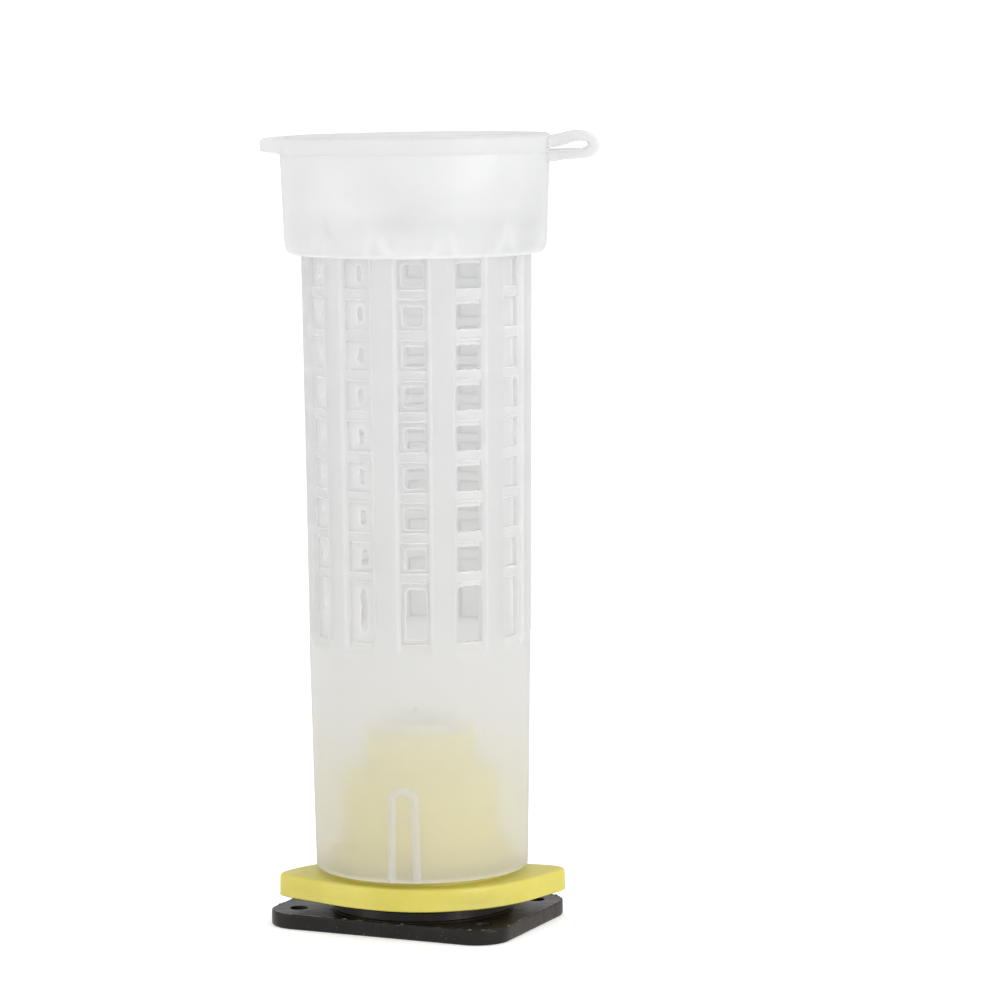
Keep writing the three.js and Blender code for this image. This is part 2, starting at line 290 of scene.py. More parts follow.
def frosted(name, milk=0.3, transmission=0.85, tone=0.96, rough=(0.44, 0.54), hazy_and_shaded=True):
    """Milky polypropylene: a share of it scatters light straight through, the rest is a matt, cloudy, see-through skin with faint flow lines."""
    m, nt, b, out = nodes_of(name)
    cloud = tex(nt, "Noise", 260, 4, 0.6)
    flow = tex(nt, "Noise", 900, 3, 0.6, stretch=(1, 1, 0.08))
    mixed = maths(nt, "ADD", maths(nt, "MULTIPLY", cloud, 0.7), maths(nt, "MULTIPLY", flow, 0.3))
    c = ramp(nt, mixed, [(0.3, (tone - 0.03, tone - 0.028, tone - 0.026)), (0.7, (tone + 0.02, tone + 0.02, tone + 0.022))])
    if hazy_and_shaded:
        # painted shade: the skin is painted greyer towards the tube's bottom, where less light falls
        co = nt.nodes.new("ShaderNodeTexCoord")
        xyz = nt.nodes.new("ShaderNodeSeparateXYZ")
        nt.links.new(co.outputs["Object"], xyz.inputs[0])
        c = blend_colours(nt, remap(nt, xyz.outputs["Z"], 0.012, 0.066, 1, 0), c, (0.948, 0.946, 0.943))
    nt.links.new(c, b.inputs["Base Color"])
    nt.links.new(remap(nt, cloud, 0.3, 0.7, *rough), b.inputs["Roughness"])
    b.inputs["IOR"].default_value = 1.14
    if hazy_and_shaded:
        # the haze attribute, which also carries painted highlights and painted shade, makes milkier parts less
        # see-through
        at = nt.nodes.new("ShaderNodeAttribute")
        at.attribute_name = "haze_and_painted_light"
        nt.links.new(remap(nt, at.outputs["Fac"], 0, 1, transmission, transmission * 0.4), b.inputs["Transmission Weight"])
    else:
        b.inputs["Transmission Weight"].default_value = transmission
    b.inputs["Coat Weight"].default_value = 0.35
    b.inputs["Coat Roughness"].default_value = 0.35
    n = bump(nt, flow, 0.12, 0.00006)
    nt.links.new(n, b.inputs["Normal"])
    milky = nt.nodes.new("ShaderNodeBsdfTranslucent")
    nt.links.new(c, milky.inputs["Color"])
    both = nt.nodes.new("ShaderNodeMixShader")
    both.inputs[0].default_value = milk
    nt.links.new(b.outputs[0], both.inputs[1])
    nt.links.new(milky.outputs[0], both.inputs[2])
    nt.links.new(both.outputs[0], out.inputs[0])
    return m


def yellow(name):
    m, nt, b, out = nodes_of(name)
    cloud = tex(nt, "Noise", 170, 4, 0.6)
    swirl = tex(nt, "Noise", 620, 3, 0.6, stretch=(1, 1, 0.5))
    c = ramp(nt, cloud, [(0.3, (0.56, 0.49, 0.078)), (0.55, (0.60, 0.53, 0.096)), (0.75, (0.65, 0.575, 0.125))])
    # painted light: the boss is painted brighter than the flange to make up for the shade it sits in inside the tube
    co = nt.nodes.new("ShaderNodeTexCoord")
    xyz = nt.nodes.new("ShaderNodeSeparateXYZ")
    nt.links.new(co.outputs["Object"], xyz.inputs[0])
    c = blend_colours(nt, remap(nt, xyz.outputs["Z"], 0.0062, 0.0085, 0, 1), c, (0.9, 0.8, 0.155))
    nt.links.new(c, b.inputs["Base Color"])
    nt.links.new(remap(nt, swirl, 0.3, 0.7, 0.36, 0.5), b.inputs["Roughness"])
    b.inputs["IOR"].default_value = 1.5
    b.inputs["Subsurface Weight"].default_value = 0.25
    b.inputs["Subsurface Radius"].default_value = (0.0022, 0.0016, 0.0004)
    b.inputs["Subsurface Scale"].default_value = 1.0
    grain = tex(nt, "Noise", 4200, 2, 0.5)
    n = bump(nt, swirl, 0.15, 0.00005)
    n = bump(nt, grain, 0.2, 0.00002, n)
    nt.links.new(n, b.inputs["Normal"])
    return m


def amber(name):
    m, nt, b, out = nodes_of(name)
    cloud = tex(nt, "Noise", 420, 3, 0.6)
    c = ramp(nt, cloud, [(0.3, (0.965, 0.925, 0.69)), (0.7, (0.975, 0.945, 0.76))])
    nt.links.new(c, b.inputs["Base Color"])
    nt.links.new(remap(nt, cloud, 0.3, 0.7, 0.25, 0.36), b.inputs["Roughness"])
    b.inputs["IOR"].default_value = 1.5
    b.inputs["Transmission Weight"].default_value = 0.06
    b.inputs["Subsurface Weight"].default_value = 0.3
    b.inputs["Subsurface Radius"].default_value = (0.002, 0.0018, 0.0012)
    b.inputs["Subsurface Scale"].default_value = 1.0
    nt.links.new(bump(nt, tex(nt, "Noise", 3000, 2), 0.15, 0.00002), b.inputs["Normal"])
    return m


def black(name):
    m, nt, b, out = nodes_of(name)
    cloud = tex(nt, "Noise", 240, 4, 0.6)
    dust = tex(nt, "Noise", 3800, 2, 0.6)
    scratch = tex(nt, "Noise", 420, 5, 0.7, stretch=(1, 9, 1))
    base = ramp(nt, cloud, [(0.3, (0.0085, 0.0078, 0.0074)), (0.7, (0.015, 0.0138, 0.0128))])
    stain = tex(nt, "Noise", 130, 3, 0.5)
    base = blend_colours(nt, remap(nt, stain, 0.5, 0.62, 0, 0.8), base, (0.024, 0.0155, 0.0085))
    specks = maths(nt, "GREATER_THAN", dust, 0.725)
    c = blend_colours(nt, specks, base, (0.14, 0.13, 0.115))
    # burrs along the plate's top edge are scuffed pale
    co = nt.nodes.new("ShaderNodeTexCoord")
    xyz = nt.nodes.new("ShaderNodeSeparateXYZ")
    nt.links.new(co.outputs["Object"], xyz.inputs[0])
    high = remap(nt, xyz.outputs["Z"], 0.001512, 0.00156, 0, 1)
    low = remap(nt, xyz.outputs["Z"], 0.0017, 0.00172, 1, 0)
    away = maths(nt, "SQRT", maths(nt, "ADD", maths(nt, "MULTIPLY", xyz.outputs["X"], xyz.outputs["X"]), maths(nt, "MULTIPLY", xyz.outputs["Y"], xyz.outputs["Y"])))
    scuffed = maths(nt, "MULTIPLY", maths(nt, "MULTIPLY", high, low), maths(nt, "GREATER_THAN", away, 0.0097))
    c = blend_colours(nt, scuffed, c, (0.17, 0.155, 0.135))
    nt.links.new(c, b.inputs["Base Color"])
    nt.links.new(remap(nt, scratch, 0.35, 0.7, 0.26, 0.45), b.inputs["Roughness"])
    b.inputs["IOR"].default_value = 1.5
    b.inputs["Specular IOR Level"].default_value = 0.22
    grain = tex(nt, "Noise", 2600, 3, 0.6)
    n = bump(nt, scratch, 0.2, 0.00006)
    n = bump(nt, grain, 0.3, 0.00003, n)
    nt.links.new(n, b.inputs["Normal"])
    return m


FROSTED = frosted("frosted_polypropylene", 0.27, 0.82, tone=0.97, rough=(0.36, 0.46))
FROSTED_LID = frosted("frosted_lid", 0.4, 0.6, hazy_and_shaded=False)
FROSTED_BAND = frosted("frosted_band", 0.32, 0.7, tone=0.93, hazy_and_shaded=False)
YELLOW = yellow("yellow_polypropylene")
AMBER = amber("cup_plastic")
BLACK = black("black_plastic")


# --------------------------------------------------------------------------------------- cage
COLS, ROWS, OFF = 12, 9, -2.3
WIN_H, PITCH = 2.9, 3.916
WALL = 1.1


def tube_r(z):
    return float(np.interp(z, [0, 18, 25, 32, 60.3], [10.54, 10.88, 11.0, 11.07, 11.33]))


def window(row):
    """Bottom and top of a row's windows above the tube's bottom edge."""
    top = 29.41 + row * PITCH
    if row == 0:
        return 23.5, top
    return top - WIN_H, min(top, 60.74)


A_HALF = [2.5, 4.6, 6.3, 7.5, 7.95, 8.35, 8.9, 9.3, 9.7, 10.6, 12.8]
A_LINES = [-a for a in reversed(A_HALF)] + [0.0] + A_HALF + [15.0]
K_HOLE = (A_LINES.index(-7.5), A_LINES.index(7.5))  # cells k with lo <= k < hi lie in the window
SINK = dict(
    zip(
        [0.0, 2.5, 4.6, 6.3, 7.5, 7.95, 8.35, 8.9, 9.3, 9.7, 10.6, 12.8, 15.0],
        [0.5, 0.5, 0.5, 0.5, 0.52, 0.47, 0.36, 0.13, 0.03, 0.0, 0.0, 0.0, 0.0],
    )
)


BAR_HAZE = {0: 0.08, 1: 0.3, 2: 0.3, 11: 0.25, 10: 0.1}


def cage_lines():
    """Rows of the cage's skin: (outer z, outer r or None, inner z, inner r or None, window row or None, edge)."""
    lines = []

    def both(z, edge=0.0, win=None):
        lines.append(dict(zo=z, ro=None, zi=z, ri=None, edge=edge, win=win))

    lines.append(dict(zo=0.0, ro=tube_r(0) - 0.17, zi=0.0, ri=tube_r(0) - WALL + 0.12, edge=0, win=None))
    lines.append(dict(zo=0.03, ro=tube_r(0) - 0.06, zi=0.04, ri=tube_r(0) - WALL + 0.04, edge=0, win=None))
    lines.append(dict(zo=0.12, ro=tube_r(0) - 0.01, zi=0.14, ri=tube_r(0) - WALL, edge=0, win=None))
    for z in (0.5, 1.5, 3, 5, 7, 9, 11, 13, 15, 17, 19, 20.5, 21.6, 22.1, 22.5, 22.8, 23.1, 23.3):
        both(z)
    for row in range(ROWS):
        z0, z1 = window(row)
        both(z0, 1, (row, 0))
        inner = [0.28] + ([1.3, 2.7, 4.1] if row == 0 else [0.35 * (z1 - z0), 0.68 * (z1 - z0)])
        for d in inner:
            both(z0 + d, 0, (row, 0.5))
        both(z1 - 0.28, 0, (row, 0.5))
        both(z1, 1, (row, 1))
        if row < ROWS - 1:
            nz = window(row + 1)[0]
            for t, e in ((0.1, 0.35), (0.27, 0.05), (0.5, 0), (0.73, 0.05), (0.9, 0.35)):
                both(z1 + t * (nz - z1), e)
    outer = [
        (60.79, None), (60.8, 11.62), (60.81, 11.95), (60.86, 12.25), (61.0, 12.5), (61.22, 12.69),
        (61.55, 12.82), (62.1, 12.89), (62.7, 12.92), (63.3, 12.94), (64.1, 12.97), (65.2, 13.01), (66.3, 13.055), (67.3, 13.1), (68.3, 13.14),
        (69.4, 13.185), (70.3, 13.232), (70.63, 13.245), (70.65, 13.235),
    ]
    inner = [
        (60.78, None), (60.86, None), (61.0, 10.25), (61.2, 10.36), (61.47, 10.58), (61.8, 10.92),
        (62.1, 11.2), (62.5, 11.41), (62.9, 11.55), (63.3, 11.63), (63.8, 11.69), (64.4, 11.74), (65.2, 11.79), (66.3, 11.84),
        (67.8, 11.89), (69.0, 11.94), (69.9, 11.97), (70.45, 12.0), (70.65, 12.13),
    ]
    for (zo, ro), (zi, ri) in zip(outer, inner):
        lines.append(dict(zo=zo, ro=ro, zi=zi, ri=ri, edge=0, win=None))
    return lines


def flaw(col, row, side):
    """How rough this window's moulding is, 0 to 1."""
    rough = {0: 0.55, 1: 0.25, 2: 0.35, 11: 1.0, 10: 0.9, 9: 0.6}.get(col, 0.5)
    return rough * (0.8 + 0.35 * rnd(col * 3.1, row * 1.7, side))


def cage_mesh():
    lines = cage_lines()
    nu = COLS * len(A_LINES)
    soup_v, faces, haze_and_painted_light = [], [], []

    def in_hole(j, u):
        """Window that the cell from line j to j+1 and column u to u+1 lies in."""
        k = u % len(A_LINES)
        if not K_HOLE[0] <= k < K_HOLE[1]:
            return None
        a, b = lines[j]["win"], lines[(j + 1) if j + 1 < len(lines) else j]["win"]
        if a is None or b is None or a[0] != b[0]:
            return None
        return (u // len(A_LINES), a[0])

    outer_id, inner_id = {}, {}
    for j, L in enumerate(lines):
        for u in range(nu):
            c, k = divmod(u, len(A_LINES))
            a = A_LINES[k]
            az = OFF + 30 * c + a
            zo, zi = L["zo"], L["zi"]
            da = 0.0
            edge_hole = L["win"] is not None and abs(a) <= 7.5
            at_side = edge_hole and abs(abs(a) - 7.5) < 1e-6
            at_end = edge_hole and L["win"][1] in (0, 1)
            if at_side or at_end:
                row = L["win"][0]
                f = flaw(c, row, 0)
                if at_side:
                    s = 1 if a > 0 else -1
                    da -= s * (0.04 + 0.4 * f * max(0.0, rnd(zo * 1.1 + 7, c * 5.3, s)) + 0.08 * rnd(zo * 4, c, s * 3))
                if at_end:
                    s = 1 if L["win"][1] == 1 else -1
                    dz = -s * (0.01 + 0.16 * f * max(0.0, rnd(a * 0.35, row * 2.3 + c * 9.1, s)) + 0.03 * rnd(a, row, c))
                    zo += dz
                    zi += dz
                if at_side and at_end:
                    da -= (1 if a > 0 else -1) * 0.3
                    s = 1 if L["win"][1] == 1 else -1
                    zo -= s * 0.06
                    zi -= s * 0.06
            foot = smooth((L["zo"] - 22.35) / 0.95) if L["ro"] is None else 0.0
            if L["ro"] is None:
                sink = SINK[abs(a)] if abs(a) in SINK else 0.0
                if abs(a) < 7.5:
                    sink += 0.10 * L["edge"] * (1 if L["zo"] > 23 else 0)
                    if L["win"] is None and L["zo"] > 23.4:
                        sink += 0.02 * rnd(a * 0.5, L["zo"] * 2, c)
                r = tube_r(L["zo"]) - foot * sink
                if L["zo"] > 23 and abs(a) > 9.2:
                    r += 0.012 * rnd(L["zo"] * 0.35, c * 4.7)
            else:
                r = L["ro"]
            r += 0.008 * rnd(az * 0.06, L["zo"] * 0.12, 5.0)
            if L["ro"] is None and foot > 0:
                r += foot * 0.24 * math.exp(-(((az - 90) / 20) ** 2))
            ri = (tube_r(L["zi"]) - WALL) if L["ri"] is None else L["ri"]
            if 61.1 < L["zi"] < 64.6:
                # the ribs' edges fan out over the funnel
                line = 8.6 + 6.2 * (L["zi"] - 60.9) / 2.9
                ri -= 0.6 * math.exp(-(((abs(a) - line) / 1.3) ** 2)) * smooth((64.6 - L["zi"]) / 0.8)
            if L["ro"] is not None:
                turn = (az + 180) % 360 - 180
                milky = (0.66 if L["zo"] > 65 else 0.52) + 0.10 * rnd(az * 0.06 + 1.3, L["zo"] * 0.5, 4.0)
                # painted highlights: the blobs at -38° and 25° high on the collar make the skin milkier and brighter
                # where the two softboxes shine on it; the three blobs at z 64 to 64.6 make the skin less milky
                for ca, cz, sa, sz, much in ((-38, 68.2, 12, 2.2, 0.35), (25, 68.6, 11, 2.2, 0.2), (-4, 64.6, 15, 1.8, -0.4), (30, 64, 20, 2.5, -0.25), (62, 64.5, 20, 4, -0.4)):
                    milky += much * math.exp(-(((turn - ca) / sa) ** 2) - ((L["zo"] - cz) / sz) ** 2)
                line = 8.6 + 6.2 * (L["zo"] - 60.9) / 2.9
                milky += 0.4 * math.exp(-(((abs(a) - line) / 1.1) ** 2)) * smooth((64.4 - L["zo"]) / 0.9)
                if L["zo"] < 61.1 and 11.9 < L["ro"] < 12.6:
                    milky = 0.95
            elif foot > 0.2 and abs(a) < 9.6:
                milky = {7.95: 0.3, 8.35: 0.4, 8.9: 0.75, 9.3: 0.6}.get(abs(a))
                if milky is None:
                    milky = BAR_HAZE.get(c, 0.3) + 0.3 * rnd(a * 0.3 + c * 3, zo * 2.1, 2) + 0.3 * L["edge"]
                # painted light: flanks left of a window's middle keep only 0.55 of their haze, so they read darker than
                # the right-hand flanks, as if lit from the right
                elif a < 0:
                    milky *= 0.55
            else:
                milky = 0.16
            outer_id[j, u] = len(soup_v)
            soup_v.append(polar(r, az + da, zo + TB))
            haze_and_painted_light.append(milky)
            inner_id[j, u] = len(soup_v)
            soup_v.append(polar(ri, az + da * 1.0, zi + TB))
            ridge = 0.0
            if 60.7 < L["zi"] < 64.6:
                line = 8.6 + 6.2 * (L["zi"] - 60.9) / 2.9
                ridge = math.exp(-(((abs(a) - line) / 1.2) ** 2)) * smooth((64.6 - L["zi"]) / 0.8)
            haze_and_painted_light.append((0.75 if 4 <= c <= 8 and 23 < L["zi"] else 0.0) if L["zi"] < 60 else 0.2 + 0.8 * ridge)
    walls = {}

    def layers(j, u):
        """Points between the outer and the inner skin at a window's edge."""
        if (j, u) not in walls:
            p, q = np.array(soup_v[outer_id[j, u]]), np.array(soup_v[inner_id[j, u]])
            ids = []
            for t in (0.13, 0.5, 0.87):
                ids.append(len(soup_v))
                soup_v.append(tuple(p + (q - p) * t))
                far = 4 <= u // len(A_LINES) <= 8
                # painted highlight: the right-hand side wall of each window is made milky so it reads bright, as if lit
                # from the right; walls in the far columns 4 to 8 get the same haze
                haze_and_painted_light.append(0.85 if A_LINES[u % len(A_LINES)] == 7.5 or far else 0.2)
            walls[j, u] = [outer_id[j, u], *ids, inner_id[j, u]]
        return walls[j, u]

    def wall(a, b):
        """Wall quads from edge a to edge b of the outer skin; the solid lies on the left of a to b seen from outside."""
        la, lb = layers(*a), layers(*b)
        for i in range(4):
            faces.append((lb[i], la[i], la[i + 1], lb[i + 1]))

    nj = len(lines)
    for j in range(nj - 1):
        for u in range(nu):
            v = (u + 1) % nu
            if in_hole(j, u):
                continue
            faces.append((outer_id[j, u], outer_id[j, v], outer_id[j + 1, v], outer_id[j + 1, u]))
            faces.append((inner_id[j, v], inner_id[j, u], inner_id[j + 1, u], inner_id[j + 1, v]))
    for j in range(nj - 1):
        for u in range(nu):
            if not in_hole(j, u):
                continue
            v = (u + 1) % nu
            if not in_hole(j - 1, u):
                wall((j, u), (j, v))
            if not in_hole(j + 1, u):
                wall((j + 1, v), (j + 1, u))
            if not in_hole(j, u - 1 if u else nu - 1):
                wall((j + 1, u), (j, u))
            if not in_hole(j, v):
                wall((j, v), (j + 1, v))
    for u in range(nu):
        v = (u + 1) % nu
        faces.append((inner_id[0, u], inner_id[0, v], outer_id[0, v], outer_id[0, u]))
        t = nj - 1
        faces.append((outer_id[t, u], outer_id[t, v], inner_id[t, v], inner_id[t, u]))
    return soup_v, faces, haze_and_painted_light


# How far the moulding flash reaches into a column's windows from the right, top, left and bottom, and how
# much that varies and wanders.
FLASH = {
    0: ((0.34, 0.62, 0.5, 0.42), 0.22, 0.03),
    1: ((0.05, 0.52, 0.10, 0.07), 0.12, 0.05),
    2: ((0.1, 0.25, 2.2, 0.2), 0.05, 0.03),
    3: ((0.95, 0.70, 0.95, 0.70), 0.3, 0.10),
    9: ((0.95, 0.80, 0.95, 0.80), 0.3, 0.10),
    10: ((1.32, 1.2, 1.3, 1.2), 0.1, 0.04),
    11: ((0.88, 0.8, 1.36, 0.8), 0.18, 0.1),
}


def membrane(col, row, soup):
    """A thin skin of moulding flash round the inside of one window, with an uneven opening."""
    z0, z1 = window(row)
    shelf = 4 <= col <= 8
    (right, top, left, low), vary, wander = ((0.5, 0, 0.45, 0), 0.15, 0.03) if shelf else FLASH[col]
    seed = col * 17.3 + row * 5.9
    az = OFF + 30 * col
    r_mid = tube_r((z0 + z1) / 2) - (1.02 if shelf else 0.74 + 0.08 * rnd(seed, 9))
    w, h = 1.46, (z1 - z0) / 2 + 0.06
    zc = (z0 + z1) / 2
    tall = h / 1.285
    n = 64
    reach = [v * (1 + vary * 1.4 * rnd(seed, s * 7.7 + 0.4)) for s, v in enumerate((right, top, left, low))]
    if row == 0:
        closed = top > 0.8
        reach[1] *= tall if closed else 1.0
        reach[3] *= tall if closed else 1.3
    if shelf:
        # these windows keep a low wide opening between two shelves of flash
        k = 22.4 * abs(math.cos(math.radians(az))) / 389
        best = (0, zc, zc)
        for i in range(-1, ROWS):
            b0 = (window(i)[1] if i >= 0 else 15.0) + 0.14
            b1 = (window(i + 1)[0] if i + 1 < ROWS else 66.0) - 0.14
            lo = max(b0 * (1 + k) - k * 81.28, z0 + 0.12)
            hi = min(b1 * (1 + k) - k * 81.28, z1 - 0.12)
            best = max(best, (hi - lo, lo, hi))
        reach[1], reach[3] = z1 + 0.06 - best[2], best[1] - z0 + 0.06
    # an opening is left in every window
    for i, j, span in ((0, 2, w), (1, 3, h)):
        over = reach[i] + reach[j] - (2 * span - (0.12 if shelf or col == 10 else 0.26))
        if over > 0:
            reach[i] -= over / 2
            reach[j] -= over / 2
    cx, cz = (reach[2] - reach[0]) / 2, (reach[3] - reach[1]) / 2
    hx, hz = w - (reach[0] + reach[2]) / 2, h - (reach[1] + reach[3]) / 2
    power = 8.0 if col in (0, 1, 2) else 5.0 if shelf or col == 11 else 2.6
    outer, inner = [], []
    for i in range(n):
        t = i / n * 4
        side, f = int(t) % 4, t - int(t)
        f2 = f * 2 - 1
        x, z = [(w, f2 * h), (-f2 * w, h), (-w, -f2 * h), (f2 * w, -h)][side]
        outer.append((x, z))
        ux, uz = x / w, z / h
        q = (abs(ux) ** power + abs(uz) ** power) ** (1 / power)
        ix, iz = cx + hx * ux / q, cz + hz * uz / q
        k = min(1.0, 3.5 * min(hx, hz))
        ix += wander * k * 1.6 * rnd(seed + ux * 2.3, uz * 2.3, 1.1)
        iz += wander * k * 1.6 * rnd(seed + ux * 2.3, uz * 2.3, 8.2)
        ix = max(-w + 0.02, min(w - 0.02, ix))
        iz = max(-h + 0.02, min(h - 0.02, iz))
        inner.append((ix, iz))
    verts = []

    def put(x, z, r):
        verts.append(polar(r, az + math.degrees(x / r), zc + z + TB))
        return len(verts) - 1

    def ring(share, lift):
        ids = []
        for (ox, oz), (ix, iz) in zip(outer, inner):
            x, z = ox + (ix - ox) * share, oz + (iz - oz) * share
            ids.append(put(x, z, r_mid + lift * (0.4 if shelf else 1.0) + 0.03 * rnd(x * 2, z * 2, seed)))
        return ids

    rings = [ring(0, 0.14), ring(0.3, 0.08), ring(0.75, 0.05), ring(0.93, 0.07), ring(1, 0.03), ring(1, -0.03), ring(0.93, -0.05), ring(0.75, -0.05), ring(0.3, -0.1), ring(0, -0.2)]
    f = []
    m = len(rings)
    for k in range(m):
        a, b = rings[k], rings[(k + 1) % m]
        for i in range(n):
            j = (i + 1) % n
            f.append((a[i], a[j], b[j], b[i]))
    veil = {0: 0.0, 1: 0.4, 2: 0.12, 3: 0.3, 9: 0.3, 10: 0.35, 11: 0.3}.get(col, 0.6)
    soup.add(verts, f, [0.75 if 3 <= k <= 6 else veil for k in range(m) for _ in range(n)])


def burr(col, row, side, soup):
    """Thin uneven bead of flash along a window's upper (1) or lower (0) edge."""
    z0, z1 = window(row)
    z = z1 if side else z0
    seed = col * 7.1 + row * 3.3 + side * 1.7
    if row == ROWS - 1 and side:
        return
    start = -1.42 + 0.5 * max(0.0, rnd(seed, 1.0))
    end = 1.42 - 0.5 * max(0.0, rnd(seed, 2.0))
    strength = {0: 0.8, 1: 1.0, 2: 0.9, 11: 1.0, 10: 0.9}.get(col, 0.7)
    rings = []
    n = 22
    for i in range(n + 1):
        t = i / n
        x = start + (end - start) * t
        wave = 0.10 * rnd(x * 2.1, seed, 3) + 0.06 * rnd(x * 5.5, seed, 5)
        zz = z + (0.05 if side else -0.05) + wave * strength
        r = tube_r(z) - 0.5 + 0.02 + 0.03 * rnd(x * 3, seed, 7)
        fat = (0.06 + 0.045 * max(0, rnd(x * 2.7, seed, 9))) * strength * min(1.0, 8 * t, 8 * (1 - t))
        fat = max(fat, 0.006)
        ring = []
        for k in range(6):
            a = -math.pi * 2 * k / 6
            ring.append(polar(r + fat * math.cos(a), OFF + 30 * col + math.degrees(x / r), zz + fat * math.sin(a) + TB))
        rings.append(ring)
    v, f = skin(rings)
    # the flash bead is real; giving it full haze also paints a bright glint along it
    soup.add(v, f, 1.0)


def u_bead(azimuth, soup):
    """Inverted-U band standing on the lower wall."""
    width, band, top, lift = 3.1, 0.8, 9.52, 0.2
    mid, head = (width - band) / 2, top - width / 2
    path = [(-mid - 0.12, 0.06), (-mid - 0.09, 1.2), (-mid - 0.06, 2.6), (-mid - 0.03, 4.4), (-mid, 6.2)]
    path += [
        (mid * math.cos(math.pi - math.pi * i / 16), head + mid * math.sin(math.pi - math.pi * i / 16))
        for i in range(17)
    ]
    path += [(mid, 6.2), (mid + 0.03, 4.4), (mid + 0.06, 2.6), (mid + 0.09, 1.2), (mid + 0.12, 0.06)]
    rings = []
    section = [(-0.5, -0.45), (0.5, -0.45), (0.5, -0.02), (0.42, 0.25), (0.3, 0.62), (0.14, 0.93), (0, 1.0), (-0.14, 0.93), (-0.3, 0.62), (-0.42, 0.25), (-0.5, -0.02)]
    for i, (s, z) in enumerate(path):
        b, a = path[max(i - 1, 0)], path[min(i + 1, len(path) - 1)]
        d = math.hypot(a[0] - b[0], a[1] - b[1])
        ax, az_ = -(a[1] - b[1]) / d, (a[0] - b[0]) / d
        r = []
        for u, h in section:
            ss, zz = s + ax * u * band, z + az_ * u * band
            zz = max(zz, 0.05)
            rad = tube_r(zz) + (h * lift if h > 0 else h * 0.6)
            r.append(polar(rad, azimuth + math.degrees(ss / 10.6), zz + TB))
        rings.append(r)
    v, f = skin(rings)
    soup.add(v, f, 0.22)


def cage():
    soup = Soup()
    soup.add(*cage_mesh())
    for azimuth in (-9.8, 170.2):
        u_bead(azimuth, soup)
    for col in range(COLS):
        for row in range(ROWS):
            membrane(col, row, soup)
            burr(col, row, 0, soup)
            burr(col, row, 1, soup)
    # gate mark on the lower wall
    g = []
    for k, (r, h) in enumerate(((0.3, -0.1), (0.3, 0.01), (0.22, 0.035), (0.1, 0.02))):
        g.append(
            [
                polar(
                    tube_r(17.2) + h,
                    -2.6 + math.degrees(r * math.cos(t) / 10.9),
                    17.2 + r * math.sin(t) + TB,
                )
                for t in [2 * math.pi * i / 20 for i in range(20)]
            ]
        )
    soup.add(*skin(g), 0.1)
    return make("cage_tube", soup.v, soup.f, FROSTED, "cage", ["cage"], 33, soup.haze_and_painted_light)


# ---------------------------------------------------------------------------------------- lid
def lid_outline(a):
    """Plan radius of the lid at angle a from +X: a disc with a finger tab at -X."""
    c, s = math.cos(a), math.sin(a)
    r = 13.3
    if c < -0.8:
        x, y = 15.05 / abs(c), 3.6 / max(abs(s), 1e-4)
        p = 26.0
        t = (x**-p + y**-p) ** (-1 / p)
        q = 60.0
        r = (r**q + t**q) ** (1 / q) if t < 40 else t
    return r


def lid():
    angles = [2 * math.pi * i / 180 for i in range(180)]
    angles = [a for a in angles if abs(a - math.pi) > math.radians(20.5)]
    angles += [math.pi + math.radians(d) for d in np.linspace(-20, 20, 101)]
    angles = sorted(angles)
    z = lambda v: v + TB
    top, bottom = z(72.42), z(70.66)
    profile = [
        (0.02, top), (1.05, top), (1.15, top + 0.025), (1.6, top + 0.025), (1.7, top), (5, top), (9, top),
        (11.6, top),
        ("o", 0.5, top), ("o", 0.32, top - 0.015), ("o", 0.17, top - 0.065), ("o", 0.065, top - 0.16),
        ("o", 0.01, top - 0.3), ("o", 0.0, top - 0.42), ("o", 0.0, top - 0.9), ("o", 0.02, bottom + 0.3), ("o", 0.035, bottom + 0.03),
        ("o", 0.045, bottom), ("o", 0.2, bottom),
        (12.0, bottom), (11.78, bottom - 0.02), (11.66, bottom - 0.1), (11.62, bottom - 0.25),
        (11.5, z(69.0)), (11.35, z(67.2)), (11.27, z(66.6)), (11.2, z(66.42)), (11.05, z(66.31)),
        (10.85, z(66.3)), (10.7, z(66.34)), (10.6, z(66.5)), (10.55, z(67.5)), (10.45, z(69.5)),
        (10.38, z(70.7)), (10.3, z(70.87)), (10.1, z(70.95)), (8, z(70.95)), (3, z(70.95)), (0.02, z(70.95)),
    ]

    def wobble(a, r, zz, p):
        if p[0] == "o":
            r += 0.02 * rnd(math.cos(a) * 2.2, math.sin(a) * 2.2, 3)
            if r * math.cos(a) < -13.0:
                # the finger tab thins towards its tip
                t = min(1.0, (-r * math.cos(a) - 13.0) / 2.0)
                zz += -0.26 * t if zz > z(71.6) else 0.32 * t if zz < z(71.2) else 0.0
                r += 0.85 * p[1] * t
        elif 9.5 < r < 12.5 and zz < bottom - 0.3:
            r += 0.02 * rnd(math.cos(a) * 1.7, math.sin(a) * 1.7, 8)
        if zz > z(72):
            zz += 0.006 * r * math.cos(a)
        return r, zz

    v, f = turned(list(reversed(profile)), lid_outline, angles, wobble=wobble)
    return make("lid_cap", v, f, FROSTED_LID, "lid", ["lid"], 40)


